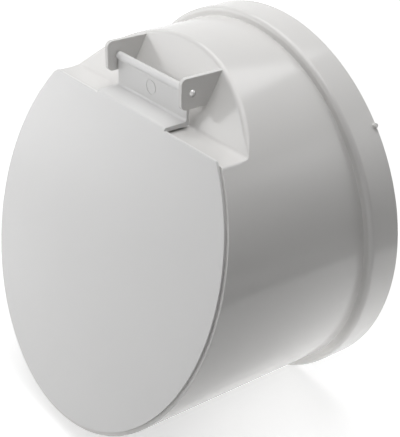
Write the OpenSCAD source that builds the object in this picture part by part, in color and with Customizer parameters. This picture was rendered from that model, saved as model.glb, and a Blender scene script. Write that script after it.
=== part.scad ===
// Self-closing flap valve for the end of a drain pipe.
// Y is the pipe axis, with the socket mouth at +Y and the flap at -Y. Z is up.
// The origin lies on the pipe axis, where the straight bore of the socket begins.

/* [Pipe socket] */
// Outside diameter of the drain pipe that is cemented into the socket
pipe_od = 160; // [125:1:200]
// Diametral play between the pipe and the socket bore
pipe_play = 0.5; // [0.3:0.1:1]
// Length of the straight bore that holds the pipe
bore_len = 40.5; // [30:0.5:60]
// Length and height of the chamfer at the mouth
lead_in = 1.5; // [0.5:0.1:3]
// Wall of the tube, measured at the start of the bore
wall = 4; // [3:0.1:6]
// Height of the pipe stop inside the bore
stop_h = 3.5; // [2:0.1:5]
// Width of the pipe stop along the axis
stop_w = 3; // [2:0.1:5]
// Width of the thickened collar round the mouth
collar_w = 16; // [10:0.5:25]
// Height of the collar above the tube
collar_h = 4.3; // [2:0.1:7]
// Mould draft of the tube and the collar, in degrees
draft = 0.7; // [0:0.1:1.5]
// Rounding of the collar's edge that faces the flap
collar_front_r = 2.2; // [1:0.1:3]
// Rounding of the collar's edge at the mouth
collar_back_r = 0.7; // [0.3:0.1:1.2]

/* [Seat] */
// Lean of the seat back from the vertical, in degrees
seat_tilt = 17.3; // [10:0.1:25]
// Wall of the chamber behind the seat, which is also the width of the rim
chamber_wall = 3.8; // [3:0.1:5]
// Width of the seal's bed inside the rim
seal_w = 5.5; // [4:0.1:8]
// Depth of the seal's bed below the rim, and thickness of the seal
seal_t = 2; // [1.5:0.1:3]
// Thickness of the seat flange below the seal
flange_t = 3; // [2:0.1:5]
// Play round the seal in its bed
seal_play = 0.1; // [0.05:0.05:0.3]
// Corner radius of the seal's bed
bed_corner_r = 5; // [3:0.5:8]

/* [Step in the crown] */
// Depth of the flat step below the crown of the socket bore
step_drop = 25; // [18:0.1:32]
// Depth of the flat step from its front edge to the sloping wall
step_depth = 13.1; // [12.5:0.1:18]
// Thickness of the step and of the sloping wall
panel_t = 3.2; // [2.5:0.1:5]
// Lean of the sloping wall back from the vertical, in degrees
panel_lean = 30; // [15:1:38]
// Gap between the pipe stop and the inside of the sloping wall
stop_gap = 0.8; // [0.2:0.1:5]
// Radius where the step runs into the sloping wall
foot_r = 2; // [0.5:0.1:2.4]

/* [Ears] */
// Clear distance between the two ears
ear_gap = 51.8; // [40:0.2:60]
// Thickness of an ear
ear_t = 2.2; // [1.6:0.1:3]
// Half the height of an ear
ear_half = 6.8; // [5:0.1:8]
// Reach of an ear in front of the pin
ear_front = 5.6; // [4:0.1:7]
// Corner radius of an ear
ear_corner_r = 2.6; // [1:0.1:3.5]

/* [Hinge pin] */
// Diameter of the pin
pin_d = 2; // [1.6:0.1:2.4]
// Distance of the pin behind the front edge of the step
pin_setback = 11.4; // [10:0.1:11.7]
// Height of the pin above the step
pin_rise = 16.2; // [14:0.1:18]
// Radial play of the pin in the ears
ear_play = 0.05; // [0.02:0.01:0.1]
// Radial play of the pin in the barrel
barrel_play = 0.06; // [0.02:0.01:0.1]
// Diameter of the domed heads
head_d = 3.2; // [3:0.1:4]
// Height of the domed heads
head_h = 1.1; // [0.6:0.1:1.4]

/* [Flap] */
// Thickness of the flap plate
flap_t = 1.1; // [1:0.1:2]
// Difference between the radius of the rim's edge and that of the flap
flap_inset = 1.5; // [1.2:0.1:2.5]
// Height of the middle of the flap's round edge above the pipe axis
flap_rise = 0.9; // [0:0.1:1.1]
// Height of the flap's straight edge above the step
flap_over = 1.6; // [1.2:0.1:2]
// Gap between the closed flap and the rim
seat_gap = 0.05; // [0.02:0.01:0.2]
// Corner radius at the ends of the flap's straight edge
flap_corner_r = 1.5; // [1:0.5:8]
// Height of the stiffening ribs on the back
rib_h = 4; // [2:0.1:5]
// Thickness of the stiffening ribs
rib_t = 1.6; // [1:0.1:2.5]
// Gap between the rib ring and the opening of the seat
rib_clear = 2.5; // [2:0.1:5]
// Radius of the small rib ring in the middle
hub_r = 12; // [8:1:20]
// Number of straight ribs
rib_count = 6; // [3:1:10]

/* [Hanger] */
// Thickness of the upright hanger plate
hanger_t = 1.6; // [1.2:0.1:2.2]
// Thickness of the shelf that carries the hanger plate
shelf_t = 2; // [1.5:0.1:2.3]
// Height of the shelf's top above the step
shelf_over = 2.9; // [2.6:0.1:3.5]
// Gap between the hanger and each ear
hanger_play = 0.6; // [0.3:0.1:1]
// Radius of the hollow between the shelf and the hanger plate
hollow_r = 1.2; // [0.5:0.1:3]
// Rounding of the shelf's front and rear edges
shelf_edge_r = 1.2; // [0.5:0.1:1.4]
// Outside diameter of the hinge barrel
barrel_od = 3.6; // [3.4:0.1:5]

/* [Mould marks] */
// Diameter of the gate stub on the collar
gate_d = 2.4; // [1.5:0.1:4]
// Height of the gate stub
gate_h = 1.3; // [0.4:0.1:1.6]
// Place of the gate stub round the collar, in degrees above the right-hand side
gate_angle = 39; // [0:1:80]
// Distance of the gate stub from the mouth
gate_back = 1.3; // [1.3:0.1:8]

/* [Hidden] */
$fn = 96;
round_fn = 180;
arc_steps = 6;
over = 1;

bore_r = (pipe_od + pipe_play) / 2;
shell_mouth_r = bore_r + wall;
stop_y = -bore_len;
shoulder_y = lead_in - collar_w;

// The sloping wall starts as close behind the pipe stop as its slope lets it
step_z = bore_r - step_drop;
panel_run = step_drop * tan(panel_lean);
foot_y = stop_y - stop_w - stop_gap - panel_run - panel_t / cos(panel_lean);
front_y = foot_y - step_depth;
seat_y = front_y - step_z * tan(seat_tilt);

pin_y = front_y + pin_setback;
pin_z = step_z + pin_rise;
pin_r = pin_d / 2;

rim_r = shell_r(seat_y);
bed_r = rim_r - chamber_wall;
bed_top = step_z - panel_t;
mouth_r = bed_r - seal_w;
mouth_top = bed_top - seal_w;
flange_back = seal_t + flange_t;

flap_r = rim_r - flap_inset;
flap_front = seat_gap + flap_t;
hanger_half = ear_gap / 2 - hanger_play;
flap_top = step_z + flap_over;
shelf_top = step_z + shelf_over;
shelf_z = shelf_top - shelf_t;
plate_front = pin_y - hanger_t / 2;
plate_back = pin_y + hanger_t / 2;
rib_r = mouth_r - rib_clear;
rib_top = mouth_top - rib_clear;

tube_front = seat_y - shell_mouth_r * tan(seat_tilt) - 2 * flap_front;
crown_z = shell_mouth_r + collar_h + over;
wide = 2 * crown_z;

// Radius of the tube's outside at a place along the axis
function shell_r(y) = shell_mouth_r + y * tan(draft);
// Place along the axis of a plane parallel to the seat, a distance in front of it
function seat_at(z, front) = seat_y + z * tan(seat_tilt) - front / cos(seat_tilt);
// Points of an arc round a centre
function arc(c, r, from, to) =
    [for (i = [0:arc_steps]) c + r * [cos(from + (to - from) * i / arc_steps),
                                      sin(from + (to - from) * i / arc_steps)]];

// Turns a profile of radius and place along the axis round the pipe axis
module lathe() {
    rotate([-90, 0, 0])
        rotate_extrude($fn = round_fn)
            children();
}

// Stretches an outline seen from the front along the pipe axis
module along_axis(from, to) {
    translate([0, to, 0])
        rotate([90, 0, 0])
            linear_extrude(to - from)
                children();
}

// Stretches an outline seen from the right across the part
module across(from, to) {
    translate([from, 0, 0])
        rotate([90, 0, 90])
            linear_extrude(to - from)
                children();
}

// All that lies between two planes parallel to the seat, given by their distance in front
module seat_layer(back, front) {
    translate([0, seat_y, 0])
        rotate([-seat_tilt, 0, 0])
            translate([-wide, -front, -wide])
                cube([2 * wide, front - back, 2 * wide]);
}

// Round outline with a straight top edge and rounded corners
module d_outline(r, top, corner) {
    reach = r - corner;
    drop = top - corner;
    corner_x = sqrt(reach * reach - drop * drop);
    lean = atan2(drop, corner_x);
    bite = 4 * corner;
    difference() {
        intersection() {
            circle(r, $fn = round_fn);
            translate([-r - over, -r - over])
                square([2 * (r + over), r + over + top]);
        }
        for (side = [0, 1])
            mirror([side, 0])
                translate([corner_x, drop])
                    difference() {
                        polygon([[0, 0],
                                 bite * [cos(lean), sin(lean)],
                                 bite * [1, 1],
                                 bite * [0, 1]]);
                        circle(corner);
                    }
    }
}

// Space above the step and in front of the sloping wall, grown by a distance
module step_space(grow) {
    lean_x = tan(panel_lean);
    floor_z = step_z - grow;
    wall_y = foot_y + grow * (1 / cos(panel_lean) - lean_x);
    rise = crown_z - floor_z;
    turn = 90 - panel_lean;
    reach = foot_r * tan(turn / 2);
    across(-wide, wide)
        polygon(concat([[tube_front - over, floor_z]],
                       arc([wall_y - reach, floor_z + foot_r], foot_r, -90, turn - 90),
                       [[wall_y + rise * lean_x, crown_z],
                        [tube_front - over, crown_z]]));
}

module outer_form() {
    front_r = shell_r(shoulder_y) + collar_h - collar_front_r;
    back_r = shell_r(lead_in) + collar_h - collar_back_r;
    lathe()
        polygon(concat([[0, tube_front],
                        [shell_r(tube_front), tube_front],
                        [shell_r(shoulder_y), shoulder_y]],
                       arc([front_r, shoulder_y + collar_front_r], collar_front_r, -90, 0),
                       arc([back_r, lead_in - collar_back_r], collar_back_r, 0, 90),
                       [[0, lead_in]]));
}

module inner_form() {
    chamber_y = stop_y - stop_w;
    difference() {
        lathe()
            polygon([[0, tube_front],
                     [shell_r(tube_front) - chamber_wall, tube_front],
                     [shell_r(chamber_y) - chamber_wall, chamber_y],
                     [bore_r - stop_h, chamber_y],
                     [bore_r - stop_h, stop_y],
                     [bore_r, stop_y],
                     [bore_r, 0],
                     [bore_r + lead_in + over, lead_in + over],
                     [0, lead_in + over]]);
        step_space(panel_t);
    }
}

module ear() {
    lean_x = tan(panel_lean);
    top = pin_z + ear_half;
    bottom = pin_z - ear_half;
    front = pin_y - ear_front;
    root = foot_y + panel_t / 2;
    r = ear_corner_r;
    across(0, ear_t)
        difference() {
            polygon(concat([[root + (bottom - step_z) * lean_x, bottom]],
                           [[root + (top - step_z) * lean_x, top]],
                           arc([front + r, top - r], r, 90, 180),
                           arc([front + r, bottom + r], r, 180, 270)));
            translate([pin_y, pin_z])
                circle(pin_r + ear_play);
        }
}

module gate_stub() {
    r = shell_r(lead_in) + collar_h;
    rotate([0, -gate_angle, 0])
        translate([r - over, lead_in - gate_back, 0])
            rotate([0, 90, 0])
                cylinder(d = gate_d, h = over + gate_h);
}

module socket_body() {
    color("whitesmoke") {
        difference() {
            outer_form();
            step_space(0);
            seat_layer(0, wide);
            difference() {
                inner_form();
                seat_layer(-flange_back, wide);
            }
            intersection() {
                along_axis(tube_front, 0)
                    d_outline(mouth_r, mouth_top, bed_corner_r);
                seat_layer(-flange_back - over, over);
            }
            intersection() {
                along_axis(tube_front, 0)
                    d_outline(bed_r, bed_top, bed_corner_r);
                seat_layer(-seal_t, over);
            }
        }
        translate([ear_gap / 2, 0, 0])
            ear();
        translate([-ear_gap / 2 - ear_t, 0, 0])
            ear();
        gate_stub();
    }
}

module seal_ring() {
    color("dimgray")
        intersection() {
            along_axis(tube_front, 0)
                difference() {
                    d_outline(bed_r - seal_play, bed_top - seal_play, bed_corner_r);
                    d_outline(mouth_r, mouth_top, bed_corner_r);
                }
            seat_layer(-seal_t, 0);
        }
}

// Stiffening ribs on the back of the flap: two rings and straight ribs between them
module flap_ribs() {
    intersection() {
        along_axis(tube_front, 0) {
            difference() {
                d_outline(rib_r, rib_top, bed_corner_r);
                d_outline(rib_r - rib_t, rib_top - rib_t, bed_corner_r);
            }
            difference() {
                circle(hub_r);
                circle(hub_r - rib_t);
            }
            intersection() {
                d_outline(rib_r, rib_top, bed_corner_r);
                for (i = [0:rib_count - 1])
                    rotate(90 + i * 360 / rib_count)
                        translate([hub_r - rib_t / 2, -rib_t / 2])
                            square([rib_r, rib_t]);
            }
        }
        seat_layer(-rib_h, flap_front - flap_t / 2);
    }
}

// Shelf and hanger plate, seen from the right: up the flap's face, back over the step,
// up to the pin and down again
module hanger_profile() {
    low_z = flap_top - 2 * flap_t;
    edge = shelf_edge_r;
    edge_y = seat_at(shelf_top - edge, flap_front) + edge / cos(seat_tilt);
    polygon(concat([[seat_at(low_z, seat_gap), low_z],
                    [seat_at(shelf_z, seat_gap), shelf_z]],
                   arc([plate_back - edge, shelf_z + edge], edge, -90, 0),
                   [[plate_back, pin_z],
                    [plate_front, pin_z]],
                   arc([plate_front - hollow_r, shelf_top + hollow_r], hollow_r, 0, -90),
                   arc([edge_y, shelf_top - edge], edge, 90, 180 - seat_tilt),
                   [[seat_at(low_z, flap_front), low_z]]));
}

module flap() {
    color("gainsboro")
        difference() {
            union() {
                intersection() {
                    along_axis(tube_front, 0)
                        translate([0, flap_rise])
                            d_outline(flap_r, flap_top - flap_rise, flap_corner_r);
                    seat_layer(seat_gap, flap_front);
                }
                flap_ribs();
                across(-hanger_half, hanger_half)
                    hanger_profile();
                translate([-hanger_half, pin_y, pin_z])
                    rotate([0, 90, 0])
                        cylinder(d = barrel_od, h = 2 * hanger_half);
            }
            translate([-hanger_half - over, pin_y, pin_z])
                rotate([0, 90, 0])
                    cylinder(r = pin_r + barrel_play, h = 2 * (hanger_half + over));
        }
}

// Half of the pin's section, from its middle to the top of one domed head
module half_pin_profile() {
    reach = ear_gap / 2 + ear_t;
    dome_r = (head_d * head_d / 4 + head_h * head_h) / (2 * head_h);
    square([pin_r, reach]);
    translate([0, reach])
        intersection() {
            translate([0, head_h - dome_r])
                circle(dome_r);
            square(dome_r);
        }
}

module hinge_pin() {
    color("silver")
        translate([0, pin_y, pin_z])
            rotate([0, 90, 0])
                rotate_extrude() {
                    half_pin_profile();
                    mirror([0, 1])
                        half_pin_profile();
                }
}

socket_body();
seal_ring();
flap();
hinge_pin();
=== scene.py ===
from math import asin, atan2, cos, degrees, pi, radians, sin, sqrt, tan

import bmesh
import bpy
from mathutils import Matrix, Vector


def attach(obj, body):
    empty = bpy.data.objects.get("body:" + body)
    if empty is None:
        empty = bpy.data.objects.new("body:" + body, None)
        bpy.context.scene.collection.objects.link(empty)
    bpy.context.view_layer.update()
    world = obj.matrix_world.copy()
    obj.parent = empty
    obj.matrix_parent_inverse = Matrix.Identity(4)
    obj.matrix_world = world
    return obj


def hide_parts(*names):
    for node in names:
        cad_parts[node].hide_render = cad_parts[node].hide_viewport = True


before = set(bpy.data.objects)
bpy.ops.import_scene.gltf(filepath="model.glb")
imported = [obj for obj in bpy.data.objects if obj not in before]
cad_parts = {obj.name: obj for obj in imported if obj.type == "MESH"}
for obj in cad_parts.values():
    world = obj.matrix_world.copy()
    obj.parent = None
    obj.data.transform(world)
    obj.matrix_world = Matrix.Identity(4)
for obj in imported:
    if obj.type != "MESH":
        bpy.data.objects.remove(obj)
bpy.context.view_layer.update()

MM = 0.001

# How far a cutter reaches past what it cuts
OVER = 1.0

# Fineness of the meshes
ROUND_STEPS = 288
ROD_STEPS = 72
PIN_STEPS = 64
MARK_STEPS = 48
GATE_STEPS = 32
ARC_STEPS = 10
DOME_STEPS = 12
TAPER_STEPS = 4
BEVEL_STEPS = 3

# Limits that tell edges, faces and points apart
SHARP_ANGLE = radians(28)
FLAT_ANGLE = radians(0.15)
SAME_POINT = 0.01
CORNER_TURN = 0.001

# How near a point lies to the tube, the seat or the mark to count as on it
ON_TUBE = 0.4
ON_SEAT = 0.1
ON_MARK = 0.2

# Pipe socket
BORE_R = 80.25
BORE_LEN = 40.5
LEAD_IN = 1.5
WALL = 4.0
STOP_H = 3.5
STOP_W = 3.0
COLLAR_W = 16.0
COLLAR_H = 4.3
DRAFT = radians(0.7)
COLLAR_FRONT_R = 2.2
COLLAR_BACK_R = 0.7
SHOULDER_FILLET = 0.5

# Seat
SEAT_TILT = radians(17.3)
CHAMBER_WALL = 3.8
SEAL_W = 5.5
SEAL_T = 2.0
FLANGE_T = 3.0
SEAL_PLAY = 0.1
BED_CORNER_R = 5.0
SEAL_EDGE_R = 0.6

# Step in the crown and the sloping wall behind it
STEP_DROP = 25.0
STEP_DEPTH = 13.1
PANEL_T = 3.2
PANEL_LEAN = radians(30)
STOP_GAP = 0.8
WALL_EDGE_R = 3.0
STEP_EDGE_R = 2.4
STEP_CORNER_R = 0.3
RIM_EDGE_R = 0.3
FOOT_R = 2.0

# How fast the step's and the wall's rounding grow out of their common corner
STEP_TAPER = 0.7
WALL_TAPER = 0.35

# Ears
EAR_GAP = 51.8
EAR_T = 2.2
EAR_HALF = 6.8
EAR_FRONT = 5.6
EAR_CORNER_R = 2.6
EAR_EDGE_R = 0.25
EAR_PLAY = 0.05

# Pin, with domes that end at DOME_END degrees, just short of the axis
PIN_R = 1.0
PIN_SETBACK = 11.4
PIN_RISE = 16.2
HEAD_D = 3.2
HEAD_H = 1.1
DOME_END = 88

# Flap
FLAP_T = 1.1
FLAP_INSET = 1.5
FLAP_RISE = 0.9
FLAP_OVER = 1.6
SEAT_GAP = 0.05
FLAP_CORNER_R = 1.5
FLAP_EDGE_R = 0.25

# Ribs on the back of the flap
RIB_H = 4.0
RIB_T = 1.6
RIB_CLEAR = 2.5
RIB_COUNT = 6
HUB_R = 12.0

# Shelf, hanger plate and barrel of the flap
HANGER_T = 1.6
HANGER_PLAY = 0.6
SHELF_T = 2.0
SHELF_OVER = 2.9
SHELF_EDGE_R = 1.2
HOLLOW_R = 1.2
BARREL_OD = 3.6
BARREL_PLAY = 0.06

# Round ejector mark in the hanger plate
EJECTOR_R = 3.5
EJECTOR_DROP = 6.4
EJECTOR_W = 0.5
EJECTOR_DEPTH = 0.2

# Gate stub on the collar
GATE_D = 2.4
GATE_H = 1.3
GATE_ANGLE = radians(39)
GATE_BACK = 1.3
GATE_FLARE = 0.1
GATE_ROOT_H = 0.2
GATE_DRAW = 0.2
GATE_TIP_H = 0.1

# Fineness of the specks in a moulded surface
SPECK_SCALE = 2600.0

# Roughness of the floor and the card
MATT = 0.9

# Floor, which looks lighter from LIFT_FROM to LIFT_TO away from the part
FLOOR_GAP = 0.1
FLOOR_HALF = 4000.0
FLOOR_COLOUR = (0.86, 0.86, 0.86, 1)
FLOOR_SHINE = 0.1
FLOOR_LIFT = (0.5, 1.0)
LIFT_FROM = 150.0
LIFT_TO = 700.0
WORLD_GREY = 0.06

# Dark card, which paints a darker reflection onto the right flank and fades out from
# CARD_FADE_FROM up to its top
CARD_X = 250.0
CARD_REACH = (-60.0, 260.0)
CARD_TOP = 200.0
CARD_FADE_FROM = 10.0
CARD_REFLECTION_SHADE = (0.10, 0.10, 0.10, 1)

# Place, aim, width, spread in degrees and watts of each lamp
LAMPS = {
    "left_box": ((-360, -280, 110), (0, -60, 0), 300, 180, 0.56),
    "front_box": ((-120, -520, 60), (0, -60, 0), 400, 180, 0.56),
    "top_box": ((-40, -20, 500), (0, -60, 0), 500, 180, 2.0),
    "back_box": ((250, 420, 120), (0, -20, 0), 500, 180, 0.60),
    "low_right_box": ((170, 20, -62), (60, 0, -95), 120, 90, 0.02),
    "shoulder_box": ((110, -110, -84), (45, -10, -80), 60, 60, 0.009),
}

# Camera: turned about the seat's centre and shifted off it
VIEW_AZIMUTH = radians(52.15)
VIEW_ELEVATION = radians(28.93)
VIEW_ROLL = radians(1.30)
VIEW_SIDE = 44.13
VIEW_RISE = 9.05
VIEW_DISTANCE = 465.83
LENS = 95.55
SENSOR_WIDTH = 36
CLIP_START = 10.0
CLIP_END = 50000.0

# Places that follow from the sizes
MOUTH_R = BORE_R + WALL
STOP_Y = -BORE_LEN
SHOULDER_Y = LEAD_IN - COLLAR_W
STEP_Z = BORE_R - STEP_DROP
FOOT_Y = (STOP_Y - STOP_W - STOP_GAP - STEP_DROP * tan(PANEL_LEAN)
          - PANEL_T / cos(PANEL_LEAN))
FRONT_Y = FOOT_Y - STEP_DEPTH
FOOT_REACH = FOOT_R * tan((pi / 2 - PANEL_LEAN) / 2)
FLAT_END_Y = FOOT_Y - FOOT_REACH
SEAT_Y = FRONT_Y - STEP_Z * tan(SEAT_TILT)
PIN_Y = FRONT_Y + PIN_SETBACK
PIN_Z = STEP_Z + PIN_RISE


def shell_r(y):
    """Outer radius of the tapering tube at a place along the pipe axis."""
    return MOUTH_R + y * tan(DRAFT)


def seat_at(z, front):
    """Place along the pipe axis of a plane in front of the seat and parallel to it."""
    return SEAT_Y + z * tan(SEAT_TILT) - front / cos(SEAT_TILT)


RIM_R = shell_r(SEAT_Y)
BED_R = RIM_R - CHAMBER_WALL
BED_TOP = STEP_Z - PANEL_T
OPENING_R = BED_R - SEAL_W
OPENING_TOP = BED_TOP - SEAL_W
FLANGE_BACK = SEAL_T + FLANGE_T
FLAP_R = RIM_R - FLAP_INSET
FLAP_FRONT = SEAT_GAP + FLAP_T
HANGER_HALF = EAR_GAP / 2 - HANGER_PLAY
FLAP_TOP = STEP_Z + FLAP_OVER
SHELF_TOP = STEP_Z + SHELF_OVER
SHELF_Z = SHELF_TOP - SHELF_T
PLATE_FRONT = PIN_Y - HANGER_T / 2
PLATE_BACK = PIN_Y + HANGER_T / 2
EJECTOR_Z = PIN_Z - EJECTOR_DROP
TUBE_FRONT = SEAT_Y - MOUTH_R * tan(SEAT_TILT) - 2 * FLAP_FRONT
CROWN_Z = MOUTH_R + COLLAR_H + OVER
WIDE = 2 * CROWN_Z
FLOOR_Z = -shell_r(LEAD_IN) - COLLAR_H - FLOOR_GAP


# Mesh tools

def finish_piece(name, bm):
    """Turns a finished bmesh into an object of the scene."""
    bmesh.ops.recalc_face_normals(bm, faces=bm.faces)
    mesh = bpy.data.meshes.new(name)
    bm.to_mesh(mesh)
    bm.free()
    piece = bpy.data.objects.new(name, mesh)
    bpy.context.scene.collection.objects.link(piece)
    return piece


def loft(name, loops, closed=False):
    """Skins a row of point loops in millimetres. The ends are capped unless the row is closed."""
    bm = bmesh.new()
    rings = [[bm.verts.new(Vector(p) * MM) for p in loop] for loop in loops]
    pairs = list(zip(rings, rings[1:]))
    if closed:
        pairs.append((rings[-1], rings[0]))
    else:
        bm.faces.new(rings[0])
        bm.faces.new(rings[-1])
    for low, high in pairs:
        count = len(low)
        for i in range(count):
            j = (i + 1) % count
            bm.faces.new((low[i], low[j], high[j], high[i]))
    return finish_piece(name, bm)


def arc(centre, r, start, end, steps=ARC_STEPS):
    """Points of an arc in a plane, with its angles in degrees."""
    points = []
    for i in range(steps + 1):
        a = radians(start + (end - start) * i / steps)
        points.append((centre[0] + r * cos(a), centre[1] + r * sin(a)))
    return points


def full_turn(steps, first=0):
    """Evenly spaced angles all the way round."""
    return [2 * pi * (i + first) / steps for i in range(steps)]


def round_turns():
    """Angles round the pipe axis at which the turned surfaces have their points."""
    return full_turn(ROUND_STEPS, 0.5)


def lathe(name, profile):
    """Turns a profile of (radius, y) round the pipe axis."""
    return loft(name, [[(r * cos(a), y, r * sin(a)) for a in round_turns()] for r, y in profile])


def across(name, outline, x_from, x_to):
    """Stretches an outline of (y, z) across the part."""
    return loft(name, [[(x, y, z) for y, z in outline] for x in (x_from, x_to)])


def seat_slab(name, outline, back, front):
    """Stretches an outline of (x, z) between two planes parallel to the seat."""
    return loft(name, [[(x, seat_at(z, d), z) for x, z in outline] for d in (back, front)])


def circle(r, centre=(0, 0), steps=ROD_STEPS):
    return arc(centre, r, 0, 360 - 360 / steps, steps - 1)


def rod(name, r, x_from, x_to, y, z):
    """A straight round bar across the part."""
    return across(name, circle(r, (y, z)), x_from, x_to)


def d_outline(r, top, corner, steps=ROUND_STEPS):
    """Round outline with a straight top edge and rounded corners, in the (x, z) plane."""
    drop = top - corner
    corner_x = sqrt((r - corner) ** 2 - drop ** 2)
    lean = degrees(atan2(drop, corner_x))
    right = arc((corner_x, drop), corner, 90, lean)
    belly = arc((0, 0), r, lean, -180 - lean, steps)[1:-1]
    left = arc((-corner_x, drop), corner, 180 - lean, 90)
    return right + belly + left


def replace_mesh(piece, mesh):
    old = piece.data
    piece.data = mesh
    bpy.data.meshes.remove(old)


def apply_modifiers(piece):
    graph = bpy.context.evaluated_depsgraph_get()
    mesh = bpy.data.meshes.new_from_object(piece.evaluated_get(graph))
    piece.modifiers.clear()
    replace_mesh(piece, mesh)


def combine(piece, tool, operation):
    """Cuts, joins or keeps what two closed pieces share, and drops the tool."""
    step = piece.modifiers.new("combine", "BOOLEAN")
    step.solver = "EXACT"
    step.operation = operation
    step.object = tool
    apply_modifiers(piece)
    bpy.data.meshes.remove(tool.data)


def cut(piece, *tools):
    for tool in tools:
        combine(piece, tool, "DIFFERENCE")


def join(piece, *tools):
    for tool in tools:
        combine(piece, tool, "UNION")


def keep_inside(piece, tool):
    combine(piece, tool, "INTERSECT")


def clean(piece):
    """Drops doubled points and the flat cuts that joining leaves inside level faces."""
    bm = bmesh.new()
    bm.from_mesh(piece.data)
    bmesh.ops.remove_doubles(bm, verts=bm.verts, dist=SAME_POINT * MM)
    bmesh.ops.dissolve_degenerate(bm, edges=bm.edges, dist=SAME_POINT * MM)
    bmesh.ops.dissolve_limit(bm, angle_limit=FLAT_ANGLE, verts=bm.verts, edges=bm.edges)
    bm.to_mesh(piece.data)
    bm.free()


def everywhere(radius):
    """The same rounding for all sharp edges."""
    return lambda middle, convex: radius


def soften(piece, radius_at):
    """Rounds each sharp edge by the radius in millimetres that radius_at gives for its middle."""
    clean(piece)
    bm = bmesh.new()
    bm.from_mesh(piece.data)
    wanted = {}
    for edge in bm.edges:
        if len(edge.link_faces) == 2 and edge.calc_face_angle() > SHARP_ANGLE:
            middle = (edge.verts[0].co + edge.verts[1].co) / 2 / MM
            wanted[edge.index] = radius_at(middle, edge.is_convex)
    widest = max(wanted.values())
    weight = bm.edges.layers.float.new("bevel_weight_edge")
    for edge in bm.edges:
        edge[weight] = wanted.get(edge.index, 0) / widest
    bm.to_mesh(piece.data)
    bm.free()
    bevel = piece.modifiers.new("rounding", "BEVEL")
    bevel.limit_method = "WEIGHT"
    bevel.width = widest * MM
    bevel.segments = BEVEL_STEPS
    bevel.use_clamp_overlap = False
    bevel.loop_slide = True
    apply_modifiers(piece)


def smooth(piece):
    """Shades curved faces as smooth and keeps the level faces level."""
    bm = bmesh.new()
    bm.from_mesh(piece.data)
    for face in bm.faces:
        face.smooth = True
    for edge in bm.edges:
        edge.smooth = len(edge.link_faces) == 2 and edge.calc_face_angle() < SHARP_ANGLE
    bm.to_mesh(piece.data)
    bm.free()
    level = piece.modifiers.new("level_faces", "WEIGHTED_NORMAL")
    level.keep_sharp = True
    apply_modifiers(piece)


# Valve body

def step_space(name, grow):
    """Room above the step and in front of the sloping wall, grown by a distance."""
    floor_z = STEP_Z - grow
    wall_y = FOOT_Y + grow * (1 / cos(PANEL_LEAN) - tan(PANEL_LEAN))
    outline = [(TUBE_FRONT - OVER, floor_z)]
    outline += arc((wall_y - FOOT_REACH, floor_z + FOOT_R), FOOT_R, -90, -degrees(PANEL_LEAN))
    outline += [(wall_y + (CROWN_Z - floor_z) * tan(PANEL_LEAN), CROWN_Z),
                (TUBE_FRONT - OVER, CROWN_Z)]
    return across(name, outline, -WIDE, WIDE)


def wide_slab(name, back, front):
    """All the room between two planes parallel to the seat."""
    corners = [(-WIDE, -WIDE), (WIDE, -WIDE), (WIDE, WIDE), (-WIDE, WIDE)]
    return seat_slab(name, corners, back, front)


def outer_form(name):
    """The tapering tube with its collar, as if it weren't cut."""
    front_r = shell_r(SHOULDER_Y) + COLLAR_H
    back_r = shell_r(LEAD_IN) + COLLAR_H
    front = COLLAR_FRONT_R
    back = COLLAR_BACK_R
    fillet = SHOULDER_FILLET
    foot = shell_r(SHOULDER_Y) + fillet
    profile = [(shell_r(TUBE_FRONT), TUBE_FRONT)]
    profile += arc((foot, SHOULDER_Y - fillet), fillet, 180, 90)
    profile += arc((front_r - front, SHOULDER_Y + front), front, -90, 0)
    profile += arc((back_r - back, LEAD_IN - back), back, 0, 90)
    return lathe(name, profile)


def inner_form(name):
    """The room inside: chamber behind the seat, pipe stop, straight bore and lead-in."""
    chamber_y = STOP_Y - STOP_W
    form = lathe(name, [
        (shell_r(TUBE_FRONT) - CHAMBER_WALL, TUBE_FRONT - OVER),
        (shell_r(chamber_y) - CHAMBER_WALL, chamber_y),
        (BORE_R - STOP_H, chamber_y),
        (BORE_R - STOP_H, STOP_Y),
        (BORE_R, STOP_Y),
        (BORE_R, 0),
        (BORE_R + LEAD_IN + OVER, LEAD_IN + OVER),
    ])
    cut(form, step_space("step_inside", PANEL_T))
    cut(form, wide_slab("flange_side", -FLANGE_BACK, WIDE))
    return form


def step_edge(name, side):
    """What the rounding takes off the edge between the step and the tube, on one side.
    It tapers towards the corner at the sloping wall."""
    loops = []
    taper_len = (STEP_EDGE_R - STEP_CORNER_R) / STEP_TAPER
    backs = [taper_len * i / TAPER_STEPS for i in range(TAPER_STEPS, -1, -1)]
    for back in [FLAT_END_Y - FRONT_Y + 2 * OVER] + backs:
        y = FLAT_END_Y - back
        r = min(STEP_EDGE_R, STEP_CORNER_R + STEP_TAPER * back)
        shell = shell_r(y)
        centre_z = STEP_Z - r
        centre_x = sqrt((shell - r) ** 2 - centre_z ** 2)
        lean = atan2(centre_z, centre_x)
        points = arc((centre_x, centre_z), r, 90, degrees(lean))
        points += [((shell + OVER) * cos(lean), (shell + OVER) * sin(lean)),
                   (shell + OVER, STEP_Z + OVER), (centre_x, STEP_Z + OVER)]
        loops.append([(side * x, y, z) for x, z in points])
    return loft(name, loops)


def wall_edge_at(turn):
    """Radius and place along the axis of the sloping wall's edge, at an angle round the axis."""
    r = shell_r(FOOT_Y)
    # Each round comes closer. Three are enough, as the tube tapers so little.
    for _ in range(3):
        y = FOOT_Y + (r * sin(turn) - STEP_Z) * tan(PANEL_LEAN)
        r = shell_r(y)
    return r, y


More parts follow.
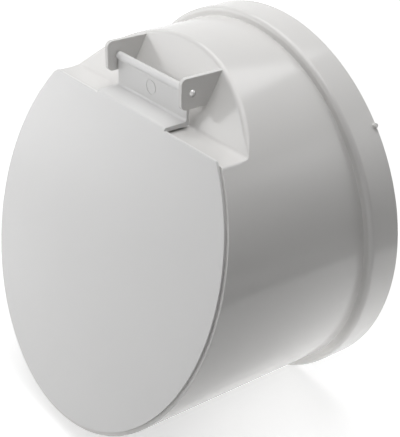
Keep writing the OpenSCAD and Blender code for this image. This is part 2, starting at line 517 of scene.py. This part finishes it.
def wall_edge(name):
    """What the rounding takes off the edge between the sloping wall and the tube. It tapers
    towards the corners with the step."""
    low = asin((STEP_Z + FOOT_REACH * cos(PANEL_LEAN)) / shell_r(FOOT_Y))
    first = low + CORNER_TURN
    inner = [turn for turn in round_turns() if first < turn < pi - first]
    loops = []
    for turn in [low] + inner + [pi - low]:
        edge_r, edge_y = wall_edge_at(turn)
        away = edge_r * min(turn - low, pi - low - turn)
        radius = min(WALL_EDGE_R, STEP_CORNER_R + WALL_TAPER * away)
        sweep = pi / 2 - atan2(sin(turn) * tan(PANEL_LEAN), 1) - DRAFT
        reach = radius * tan(sweep / 2)
        top_r = edge_r + reach * sin(DRAFT)
        top_y = edge_y + reach * cos(DRAFT)
        centre = (top_r - radius * cos(DRAFT), top_y + radius * sin(DRAFT))
        points = arc(centre, radius, -degrees(DRAFT), -degrees(DRAFT + sweep))
        wall_r, wall_y = points[-1]
        points += [(wall_r, wall_y - OVER), (edge_r + OVER, wall_y - OVER), (edge_r + OVER, top_y)]
        loops.append([(r * cos(turn), y, r * sin(turn)) for r, y in points])
    return loft(name, loops)


def body_radius(middle, convex):
    """Rounding of the body's edges that the cutters leave sharp, but none in the corners
    between the step and the sloping wall."""
    x, y, z = middle
    outside = sqrt(x * x + z * z) > shell_r(y) - ON_TUBE
    if outside and abs(y - FOOT_Y) < FOOT_R and abs(z - STEP_Z) < FOOT_R:
        return 0
    if abs(y - seat_at(z, 0)) < ON_SEAT and z > STEP_Z - STEP_EDGE_R:
        return 0
    if not outside and z > BED_TOP - OVER and y < SHOULDER_Y:
        return 0
    return RIM_EDGE_R


def ear(name, x_from):
    """A thin plate that grows out of the sloping wall and carries one end of the pin."""
    top = PIN_Z + EAR_HALF
    bottom = PIN_Z - EAR_HALF
    front = PIN_Y - EAR_FRONT
    root = FOOT_Y + PANEL_T / 2
    lean = tan(PANEL_LEAN)
    r = EAR_CORNER_R
    outline = [(root + (bottom - STEP_Z) * lean, bottom),
               (root + (top - STEP_Z) * lean, top)]
    outline += arc((front + r, top - r), r, 90, 180)
    outline += arc((front + r, bottom + r), r, 180, 270)
    plate = across(name, outline, x_from, x_from + EAR_T)
    cut(plate, rod("ear_hole", PIN_R + EAR_PLAY, x_from - OVER, x_from + EAR_T + OVER,
                   PIN_Y, PIN_Z))
    soften(plate, everywhere(EAR_EDGE_R))
    return plate


def gate_stub():
    """What is left of the moulding's gate on the right side of the collar."""
    collar_r = shell_r(LEAD_IN) + COLLAR_H
    gate_r = GATE_D / 2
    y = LEAD_IN - GATE_BACK
    profile = [(gate_r + GATE_FLARE, -OVER), (gate_r, GATE_ROOT_H),
               (gate_r - GATE_DRAW, GATE_H - GATE_TIP_H), (gate_r - 2 * GATE_DRAW, GATE_H)]
    loops = [[(collar_r + rise, y + r * cos(a), r * sin(a)) for a in full_turn(GATE_STEPS)]
             for r, rise in profile]
    stub = loft("gate_stub", loops)
    stub.data.transform(Matrix.Rotation(-GATE_ANGLE, 4, "Y"))
    return stub


def make_body():
    """The socket in one piece, with its seat, its step, its ears and the gate stub."""
    body = outer_form("valve_body_shell")
    cut(body, step_space("step", 0))
    cut(body, wall_edge("wall_edge"))
    cut(body, step_edge("step_edge_right", 1), step_edge("step_edge_left", -1))
    cut(body, wide_slab("seat_plane", 0, WIDE))
    cut(body, inner_form("hollow"))
    cut(body, seat_slab("opening", d_outline(OPENING_R, OPENING_TOP, BED_CORNER_R),
                        -FLANGE_BACK - OVER, OVER))
    cut(body, seat_slab("seal_bed", d_outline(BED_R, BED_TOP, BED_CORNER_R), -SEAL_T, OVER))
    soften(body, body_radius)
    join(body, ear("ear_right", EAR_GAP / 2), ear("ear_left", -EAR_GAP / 2 - EAR_T))
    join(body, gate_stub())
    smooth(body)
    return body


# Seal, flap and pin

def make_seal():
    """A rubber ring in the seat's bed, level with the rim."""
    outline = d_outline(BED_R - SEAL_PLAY, BED_TOP - SEAL_PLAY, BED_CORNER_R)
    ring = seat_slab("seal_ring_lip", outline, -SEAL_T, 0)
    cut(ring, seat_slab("seal_opening", d_outline(OPENING_R, OPENING_TOP, BED_CORNER_R),
                        -SEAL_T - OVER, OVER))
    soften(ring, everywhere(SEAL_EDGE_R))
    smooth(ring)
    return ring


def hanger_profile():
    """Shelf, hanger plate and barrel, seen from the right: from inside the flap back over the
    step, up and round the pin, down again and forward to the flap's face."""
    middle = SEAT_GAP + FLAP_T / 2
    low_z = FLAP_TOP - 2 * FLAP_T
    edge = SHELF_EDGE_R
    tilt = degrees(SEAT_TILT)
    edge_y = seat_at(SHELF_TOP - edge, FLAP_FRONT) + edge / cos(SEAT_TILT)
    barrel_r = BARREL_OD / 2
    neck = degrees(asin(HANGER_T / 2 / barrel_r))
    outline = [(seat_at(low_z, middle), low_z), (seat_at(SHELF_Z, middle), SHELF_Z)]
    outline += arc((PLATE_BACK - edge, SHELF_Z + edge), edge, -90, 0)
    outline += arc((PIN_Y, PIN_Z), barrel_r, neck - 90, 270 - neck, 4 * ARC_STEPS)
    outline += arc((PLATE_FRONT - HOLLOW_R, SHELF_TOP + HOLLOW_R), HOLLOW_R, 0, -90)
    outline += arc((edge_y, SHELF_TOP - edge), edge, 90, 180 - tilt)
    outline += [(seat_at(FLAP_TOP, FLAP_FRONT), FLAP_TOP)]
    return outline


def rib_pocket(number, outline, back, front):
    """Room between two neighbouring straight ribs, outside the hub and inside the rib ring."""
    half_turn = pi / RIB_COUNT
    turn = pi / 2 + (2 * number + 1) * half_turn
    near = RIB_T / 2 / sin(half_turn)
    corner = (near * cos(turn), near * sin(turn))
    wedge = [corner]
    for side in (turn - half_turn, turn + half_turn):
        wedge.append((corner[0] + 2 * WIDE * cos(side), corner[1] + 2 * WIDE * sin(side)))
    pocket = seat_slab("rib_pocket", outline, back - OVER, front + OVER)
    keep_inside(pocket, seat_slab("rib_wedge", wedge, back - 2 * OVER, front + 2 * OVER))
    cut(pocket, seat_slab("hub", circle(HUB_R), back - 2 * OVER, front + 2 * OVER))
    return pocket


def flap_ribs():
    """Straight ribs from a hub to a rib ring, on the back of the flap."""
    back = -RIB_H
    front = FLAP_FRONT - FLAP_T / 2
    r = OPENING_R - RIB_CLEAR
    top = OPENING_TOP - RIB_CLEAR
    ribs = seat_slab("flap_ribs", d_outline(r, top, BED_CORNER_R), back, front)
    inside = d_outline(r - RIB_T, top - RIB_T, BED_CORNER_R)
    for number in range(RIB_COUNT):
        cut(ribs, rib_pocket(number, inside, back, front))
    cut(ribs, seat_slab("hub_hole", circle(HUB_R - RIB_T), back - OVER, front + OVER))
    return ribs


def ejector_mark():
    """A shallow ring that an ejector leaves in the hanger plate."""
    inner = EJECTOR_R - EJECTOR_W
    profile = [(inner, -OVER), (inner, EJECTOR_DEPTH),
               (EJECTOR_R, EJECTOR_DEPTH), (EJECTOR_R, -OVER)]
    loops = [[(r * cos(a), PLATE_FRONT + depth, EJECTOR_Z + r * sin(a))
              for a in full_turn(MARK_STEPS)] for r, depth in profile]
    return loft("ejector_mark", loops, closed=True)


def flap_radius(middle, convex):
    """Rounding of the flap's outer edges. Its hollow corners and the mark stay sharp."""
    x, y, z = middle
    from_mark = sqrt(x * x + (z - EJECTOR_Z) ** 2) - EJECTOR_R
    in_mark = y > PLATE_FRONT - ON_MARK and from_mark < ON_MARK
    if in_mark or not convex:
        return 0
    return FLAP_EDGE_R


def make_flap():
    """The leaf with its hanger, its ribs and the hole for the pin, in one piece."""
    leaf = [(x, z + FLAP_RISE) for x, z in d_outline(FLAP_R, FLAP_TOP - FLAP_RISE, FLAP_CORNER_R)]
    flap = seat_slab("flap_leaf", leaf, SEAT_GAP, FLAP_FRONT)
    join(flap, across("hanger", hanger_profile(), -HANGER_HALF, HANGER_HALF))
    join(flap, flap_ribs())
    cut(flap, rod("barrel_hole", PIN_R + BARREL_PLAY, -HANGER_HALF - OVER, HANGER_HALF + OVER,
                  PIN_Y, PIN_Z))
    cut(flap, ejector_mark())
    soften(flap, flap_radius)
    smooth(flap)
    return flap


def make_pin():
    """A thin rod through both ears, with a domed head outside each."""
    reach = EAR_GAP / 2 + EAR_T
    dome_r = (HEAD_D ** 2 / 4 + HEAD_H ** 2) / (2 * HEAD_H)
    centre = reach + HEAD_H - dome_r
    low = degrees(atan2(reach - centre, HEAD_D / 2))
    half = [(PIN_R, reach)] + arc((0, centre), dome_r, low, DOME_END, DOME_STEPS)
    profile = [(r, -x) for r, x in reversed(half)] + half
    loops = [[(x, PIN_Y + r * cos(a), PIN_Z + r * sin(a)) for a in full_turn(PIN_STEPS)]
             for r, x in profile]
    pin = loft("hinge_pin_rod", loops)
    smooth(pin)
    return pin


# Materials

def node(tree, kind, **inputs):
    """Adds a node. Inputs are set by name, with an underscore for a space."""
    made = tree.nodes.new(kind)
    for name, value in inputs.items():
        made.inputs[name.replace("_", " ")].default_value = value
    return made


def feed(tree, socket, value):
    """Sets a socket to a number, or links it to an output."""
    if isinstance(value, (int, float)):
        socket.default_value = value
    else:
        tree.links.new(value, socket)


def math_node(tree, operation, *values):
    made = tree.nodes.new("ShaderNodeMath")
    made.operation = operation
    for socket, value in zip(made.inputs, values):
        feed(tree, socket, value)
    return made.outputs["Value"]


def noise(tree, scale, **inputs):
    """A cloud pattern that stays in place on the piece."""
    place = tree.nodes.new("ShaderNodeTexCoord")
    made = node(tree, "ShaderNodeTexNoise", **inputs)
    tree.links.new(place.outputs["Object"], made.inputs["Vector"])
    feed(tree, made.inputs["Scale"], scale)
    return made.outputs["Fac"]


def ramp(tree, value, start, end, low, high):
    """Goes from low to high while the value goes from start to end, in millimetres."""
    made = node(tree, "ShaderNodeMapRange", From_Min=start * MM, From_Max=end * MM,
                To_Min=low, To_Max=high)
    tree.links.new(value, made.inputs["Value"])
    return made.outputs["Result"]


def skin_group():
    """An empty group with the inputs and outputs of a moulded skin."""
    group = bpy.data.node_groups.new("moulded_skin", "ShaderNodeTree")
    sockets = group.interface
    for name, kind, value in (
            ("Colour", "NodeSocketColor", (0.8, 0.8, 0.8, 1)),
            ("Shade Change", "NodeSocketFloat", 0.02),
            ("Roughness", "NodeSocketFloat", 0.3),
            ("Roughness Change", "NodeSocketFloat", 0.05),
            ("Flow Scale", "NodeSocketFloat", 22.0),
            ("Peel Scale", "NodeSocketFloat", 700.0)):
        socket = sockets.new_socket(name, in_out="INPUT", socket_type=kind)
        socket.default_value = value
    sockets.new_socket("Colour", in_out="OUTPUT", socket_type="NodeSocketColor")
    sockets.new_socket("Roughness", in_out="OUTPUT", socket_type="NodeSocketFloat")
    sockets.new_socket("Height", in_out="OUTPUT", socket_type="NodeSocketFloat")
    return group


def moulded_skin():
    """Colour, roughness and height of a moulded surface: broad flow shades, a slight
    orange peel and fine specks."""
    group = skin_group()
    given = group.nodes.new("NodeGroupInput").outputs
    out = group.nodes.new("NodeGroupOutput").inputs

    flow = noise(group, given["Flow Scale"], Detail=3.0, Roughness=0.55)
    swing = math_node(group, "MULTIPLY_ADD", flow, 2.0, -1.0)
    shade = math_node(group, "MULTIPLY_ADD", swing, given["Shade Change"], 1.0)
    tint = group.nodes.new("ShaderNodeVectorMath")
    tint.operation = "SCALE"
    group.links.new(given["Colour"], tint.inputs[0])
    group.links.new(shade, tint.inputs["Scale"])
    group.links.new(tint.outputs["Vector"], out["Colour"])

    specks = noise(group, SPECK_SCALE, Detail=2.0)
    speck_swing = math_node(group, "SUBTRACT", specks, 0.5)
    rough = math_node(group, "ADD", swing, speck_swing)
    rough = math_node(group, "MULTIPLY_ADD", rough, given["Roughness Change"], given["Roughness"])
    group.links.new(rough, out["Roughness"])

    peel = noise(group, given["Peel Scale"], Detail=1.5, Roughness=0.4)
    group.links.new(peel, out["Height"])
    return group


SKIN = moulded_skin()


def surface(name, colour, roughness, shader_values, skin_values, bump):
    """A material whose colour, roughness and relief come from the moulded skin. The bump is
    its strength and its height in millimetres."""
    made = bpy.data.materials.new(name)
    made.use_nodes = True
    tree = made.node_tree
    shader = tree.nodes["Principled BSDF"]
    for socket, value in shader_values.items():
        shader.inputs[socket].default_value = value
    skin = tree.nodes.new("ShaderNodeGroup")
    skin.node_tree = SKIN
    skin.inputs["Colour"].default_value = (*colour, 1)
    skin.inputs["Roughness"].default_value = roughness
    for socket, value in skin_values.items():
        skin.inputs[socket].default_value = value
    relief = node(tree, "ShaderNodeBump", Strength=bump[0], Distance=bump[1] * MM)
    tree.links.new(skin.outputs["Colour"], shader.inputs["Base Color"])
    tree.links.new(skin.outputs["Roughness"], shader.inputs["Roughness"])
    tree.links.new(skin.outputs["Height"], relief.inputs["Height"])
    tree.links.new(relief.outputs["Normal"], shader.inputs["Normal"])
    return made


def dress(piece, material, body, replaced):
    """Gives a piece its material and its body, and hides the CAD node that it stands for."""
    piece.data.materials.clear()
    piece.data.materials.append(material)
    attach(piece, body)
    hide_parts(replaced)


body_plastic = surface(
    "body_plastic", (0.80, 0.79, 0.775), 0.16, {"IOR": 1.5},
    {"Shade Change": 0.012, "Roughness Change": 0.02}, (0.25, 0.04))
flap_plastic = surface(
    "flap_plastic", (0.79, 0.787, 0.782), 0.30, {"IOR": 1.5},
    {"Shade Change": 0.012, "Roughness Change": 0.015}, (0.25, 0.05))
seal_rubber = surface(
    "seal_rubber", (0.035, 0.035, 0.037), 0.62, {"IOR": 1.5},
    {"Shade Change": 0.15, "Roughness Change": 0.12, "Flow Scale": 120.0}, (0.5, 0.08))
pin_steel = surface(
    "pin_steel", (0.50, 0.495, 0.49), 0.30, {"Metallic": 1.0},
    {"Shade Change": 0.03, "Roughness Change": 0.08, "Flow Scale": 900.0}, (0.2, 0.02))

dress(make_body(), body_plastic, "valve_body", "socket_body")
dress(make_seal(), seal_rubber, "valve_body", "seal_ring")
dress(make_pin(), pin_steel, "valve_body", "hinge_pin")
dress(make_flap(), flap_plastic, "swing_flap", "flap")


# Studio

def seen_directly(tree):
    """1 for what the camera, a reflection or a view through glass sees, otherwise 0."""
    path = tree.nodes.new("ShaderNodeLightPath").outputs
    seen = math_node(tree, "MAXIMUM", path["Is Camera Ray"], path["Is Glossy Ray"])
    return math_node(tree, "MAXIMUM", seen, path["Is Transmission Ray"])


def matt_sheet(name, corners, colour):
    """A flat sheet of the studio with a matt material, and that material's nodes."""
    bm = bmesh.new()
    bm.faces.new([bm.verts.new(Vector(corner) * MM) for corner in corners])
    sheet = finish_piece(name, bm)
    matt = bpy.data.materials.new(name + "_matt")
    matt.use_nodes = True
    shader = matt.node_tree.nodes["Principled BSDF"]
    shader.inputs["Base Color"].default_value = colour
    shader.inputs["Roughness"].default_value = MATT
    sheet.data.materials.append(matt)
    return sheet, matt.node_tree, shader


def make_floor():
    """Pale paper. Further from the part it looks plain white, so that it has no horizon."""
    half = FLOOR_HALF
    corners = [(-half, -half, FLOOR_Z), (half, -half, FLOOR_Z),
               (half, half, FLOOR_Z), (-half, half, FLOOR_Z)]
    _, tree, shader = matt_sheet("studio_floor", corners, FLOOR_COLOUR)
    shader.inputs["Specular IOR Level"].default_value = FLOOR_SHINE
    shader.inputs["Emission Color"].default_value = (1, 1, 1, 1)
    place = tree.nodes.new("ShaderNodeTexCoord")
    distance = tree.nodes.new("ShaderNodeVectorMath")
    distance.operation = "LENGTH"
    tree.links.new(place.outputs["Object"], distance.inputs[0])
    rise = ramp(tree, distance.outputs["Value"], LIFT_FROM, LIFT_TO, *FLOOR_LIFT)
    lift = math_node(tree, "MULTIPLY", seen_directly(tree), rise)
    tree.links.new(lift, shader.inputs["Emission Strength"])


def make_world():
    """White where it is seen directly, and a weak grey light on the part."""
    world = bpy.data.worlds.new("studio")
    world.use_nodes = True
    bpy.context.scene.world = world
    tree = world.node_tree
    back = tree.nodes["Background"]
    back.inputs["Color"].default_value = (1, 1, 1, 1)
    strength = math_node(tree, "MAXIMUM", seen_directly(tree), WORLD_GREY)
    tree.links.new(strength, back.inputs["Strength"])


def make_card():
    """A dark card on the right that only reflections show, as the camera, diffuse light and
    shadows pass it by.
    All it does is paint a darker reflection onto the right flank. It fades out towards its top."""
    near, far = CARD_REACH
    corners = [(CARD_X, near, FLOOR_Z), (CARD_X, far, FLOOR_Z),
               (CARD_X, far, CARD_TOP), (CARD_X, near, CARD_TOP)]
    card, tree, shader = matt_sheet("reflection_shade_card", corners, CARD_REFLECTION_SHADE)
    place = tree.nodes.new("ShaderNodeTexCoord")
    split = tree.nodes.new("ShaderNodeSeparateXYZ")
    tree.links.new(place.outputs["Object"], split.inputs["Vector"])
    fade = ramp(tree, split.outputs["Z"], CARD_FADE_FROM, CARD_TOP, 1.0, 0.0)
    tree.links.new(fade, shader.inputs["Alpha"])
    # Painted reflection: seen by nothing but glossy rays, the card only darkens the right flank's
    # reflection.
    card.visible_camera = False
    card.visible_diffuse = False
    card.visible_shadow = False


def make_lamps():
    """Square soft boxes, which the camera itself doesn't see."""
    for name, (place, aim, width, spread, power) in LAMPS.items():
        light = bpy.data.lights.new(name, "AREA")
        light.size = width * MM
        light.spread = radians(spread)
        light.energy = power
        made = bpy.data.objects.new(name, light)
        made.location = Vector(place) * MM
        made.rotation_euler = (Vector(aim) - Vector(place)).to_track_quat("-Z", "Y").to_euler()
        made.visible_camera = False
        bpy.context.scene.collection.objects.link(made)


def view_directions():
    """Unit vectors to the right, up and back of the camera."""
    flat = cos(VIEW_ELEVATION)
    back = Vector((sin(VIEW_AZIMUTH) * flat, -cos(VIEW_AZIMUTH) * flat, sin(VIEW_ELEVATION)))
    level = Vector((cos(VIEW_AZIMUTH), sin(VIEW_AZIMUTH), 0))
    upright = back.cross(level)
    right = level * cos(VIEW_ROLL) + upright * sin(VIEW_ROLL)
    up = upright * cos(VIEW_ROLL) - level * sin(VIEW_ROLL)
    return right, up, back


def make_camera():
    """The camera at the angle of the reference view."""
    right, up, back = view_directions()
    eye = Vector((0, SEAT_Y, 0)) + right * VIEW_SIDE + up * VIEW_RISE + back * VIEW_DISTANCE
    data = bpy.data.cameras.new("photo_view")
    data.sensor_fit = "HORIZONTAL"
    data.sensor_width = SENSOR_WIDTH
    data.lens = LENS
    data.clip_start = CLIP_START * MM
    data.clip_end = CLIP_END * MM
    camera = bpy.data.objects.new("photo_view", data)
    turn = Matrix((right, up, back)).transposed()
    camera.matrix_world = Matrix.Translation(eye * MM) @ turn.to_4x4()
    bpy.context.scene.collection.objects.link(camera)
    bpy.context.scene.camera = camera


make_floor()
make_card()
make_world()
make_lamps()
make_camera()
bpy.context.scene.view_settings.view_transform = "Standard"
